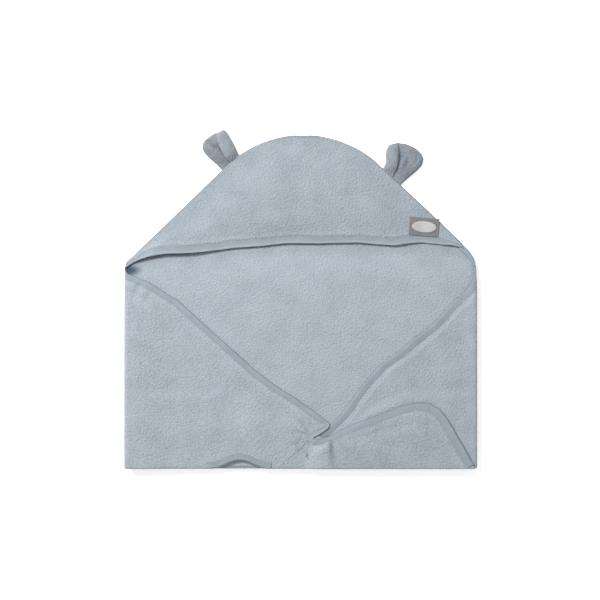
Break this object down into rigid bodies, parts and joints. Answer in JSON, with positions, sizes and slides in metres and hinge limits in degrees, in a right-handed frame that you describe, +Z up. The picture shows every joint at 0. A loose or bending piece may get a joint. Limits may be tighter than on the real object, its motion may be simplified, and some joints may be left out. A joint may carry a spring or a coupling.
{
  "type": "hooded baby towel",
  "caption": "Square terry baby towel with a sewn corner hood, small ears and bound edges, folded flat with both sides turned in to the front.",
  "frame": {"origin": "on the table, under the middle of the folded towel's outline", "axes": "+X to the right with the hood at the top, +Y from the folded bottom to the hood's crown, +Z up from the table"},
  "size_m": [0.53, 0.5099, 0.0228],
  "materials": {
    "terry": "light grey-blue cotton terry, looped pile",
    "ear_lining": "light grey-blue terry, pressed pile",
    "binding": "woven cotton bias tape, topstitched",
    "label_cloth": "grey woven label",
    "label_oval": "pale plain woven oval"
  },
  "bodies": {
    "root": {"back_panel": "terry", "hood_panel": "terry", "hood_binding": "binding", "label": "label_cloth", "label_oval": "label_oval"},
    "left_side": {"left_fold": "terry", "left_side_panel": "terry", "left_side_binding": "binding"},
    "right_side": {"right_fold": "terry", "right_side_panel": "terry", "right_side_binding": "binding"},
    "tail_upper": {"bottom_fold": "terry", "tail_panel_1": "terry"},
    "tail_middle": {"tail_fold_upper": "terry", "tail_panel_2": "terry"},
    "tail_end": {"tail_fold_lower": "terry", "tail_corner": "terry", "tail_binding": "binding"},
    "left_ear": {"left_ear_back": "ear_lining", "left_ear_front": "terry"},
    "right_ear": {"right_ear_back": "ear_lining", "right_ear_front": "terry"}
  },
  "joints": [
    {"name": "left_side_fold", "type": "hinge", "parent": "root", "child": "left_side", "pos_m": [-0.25795, 0, 0.01575], "axis": [0, -1, 0], "range_deg": [0, 178], "deforming": ["left_fold"]},
    {"name": "right_side_fold", "type": "hinge", "parent": "root", "child": "right_side", "pos_m": [0.26085, 0, 0.01285], "axis": [0, -1, 0], "range_deg": [-178, 0], "deforming": ["right_fold"]},
    {"name": "tail_fold_1", "type": "hinge", "parent": "root", "child": "tail_upper", "pos_m": [0, -0.2523, 0.0085], "axis": [-1, 0, 0], "range_deg": [0, 178], "deforming": ["bottom_fold"]},
    {"name": "tail_fold_2", "type": "hinge", "parent": "tail_upper", "child": "tail_middle", "pos_m": [0, 0.0177, 0.0056], "axis": [-1, 0, 0], "range_deg": [-176, 0], "deforming": ["tail_fold_upper"]},
    {"name": "tail_fold_3", "type": "hinge", "parent": "tail_middle", "child": "tail_end", "pos_m": [0, -0.2523, 0.0027], "axis": [-1, 0, 0], "range_deg": [0, 178], "deforming": ["tail_fold_lower"]},
    {"name": "left_ear_flop", "type": "hinge", "parent": "root", "child": "left_ear", "pos_m": [-0.1075, 0.208, 0.0026], "axis": [0.7779, 0.6283, 0], "range_deg": [0, 95]},
    {"name": "right_ear_flop", "type": "hinge", "parent": "root", "child": "right_ear", "pos_m": [0.1405, 0.1871, 0.0026], "axis": [0.7376, -0.6752, 0], "range_deg": [0, 95]}
  ],
  "couplings": [
    {"joint": "right_side_fold", "follows": "left_side_fold", "ratio": -1},
    {"joint": "tail_fold_2", "follows": "tail_fold_1", "ratio": -0.98876},
    {"joint": "tail_fold_3", "follows": "tail_fold_1", "ratio": 1}
  ]
}
